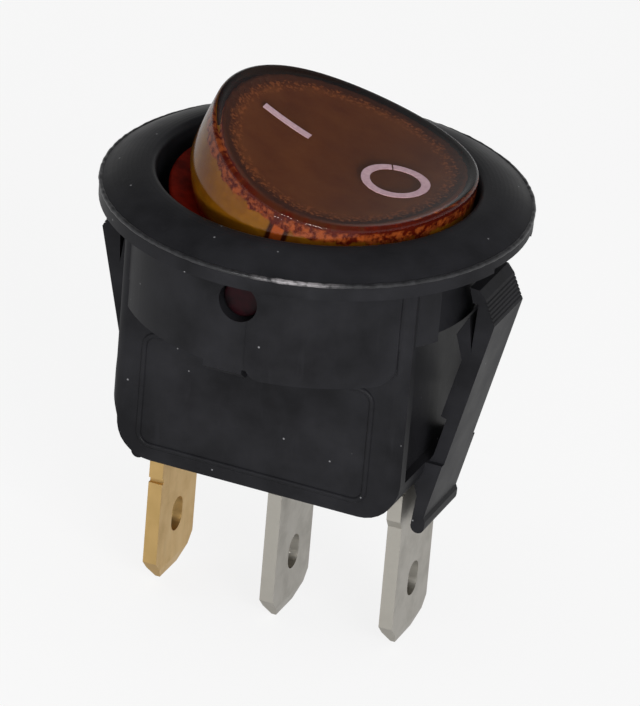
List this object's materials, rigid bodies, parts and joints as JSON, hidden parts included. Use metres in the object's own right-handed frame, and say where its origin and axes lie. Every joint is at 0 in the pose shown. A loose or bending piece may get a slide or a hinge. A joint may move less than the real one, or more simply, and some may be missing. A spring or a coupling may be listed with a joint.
{
  "type": "panel rocker switch",
  "caption": "Round snap-in panel switch with a tilting lit rocker marked I and O, a see-saw contact inside and a row of flat blade terminals below",
  "frame": {"origin": "centre of the bezel's underside, in the plane of the panel's outer face", "axes": "+Z out of the panel, +X along the row of terminals towards the load terminal, Y across the body"},
  "size_m": [0.023, 0.023, 0.0295],
  "materials": {
    "housing_plastic": "moulded near-black thermoplastic, satin, with a worn edge on the bezel",
    "rocker_plastic": "translucent amber-brown moulding, polished, with a pebbled ring round the touch face",
    "carrier_plastic": "ochre moulding seen through the rocker",
    "lamp_glass": "clear lamp glass",
    "tinned_wire": "thin tinned wire",
    "resistor_coat": "plain lacquered resistor body",
    "brass": "stamped brass, dull",
    "spring_steel": "drawn spring wire",
    "plunger_plastic": "natural slippery plastic",
    "copper_alloy": "stamped copper alloy",
    "contact_silver": "silver alloy rivet",
    "tinned_blade": "tin-plated brass, dull silver with rub marks"
  },
  "bodies": {
    "housing": {"housing": "housing_plastic", "fixed_contact": "contact_silver", "common_terminal": "tinned_blade", "load_terminal": "tinned_blade", "lamp_terminal": "brass", "lamp_spring_left": "spring_steel", "lamp_spring_right": "spring_steel"},
    "rocker": {"rocker": "rocker_plastic", "lamp_carrier": "carrier_plastic", "neon_lamp": "lamp_glass", "lamp_wire_in": "tinned_wire", "lamp_wire_link": "tinned_wire", "lamp_wire_out": "tinned_wire", "resistor": "resistor_coat", "spring_cap_left": "brass", "spring_cap_right": "brass", "plunger_spring": "spring_steel"},
    "plunger": {"plunger": "plunger_plastic"},
    "contact_arm": {"contact_arm": "copper_alloy", "moving_contact": "contact_silver"}
  },
  "joints": [
    {"name": "rocker_pivot", "type": "hinge", "parent": "housing", "child": "rocker", "pos_m": [0, 0, -0.0016], "axis": [0, -1, 0], "range_deg": [0, 27.8], "deforming": ["lamp_spring_left", "lamp_spring_right"]},
    {"name": "arm_pivot", "type": "hinge", "parent": "housing", "child": "contact_arm", "pos_m": [0, 0, -0.01054], "axis": [0, 1, 0], "range_deg": [0, 20]},
    {"name": "plunger_slide", "type": "slide", "parent": "rocker", "child": "plunger", "axis": [0.2402, 0, 0.9707], "range_m": [0, 0.0008], "stiffness_N_per_m": 600, "springref_m": -0.001, "deforming": ["plunger_spring"]}
  ],
  "couplings": [
    {"joint": "arm_pivot", "follows": "rocker_pivot", "ratio": 0.71942}
  ]
}
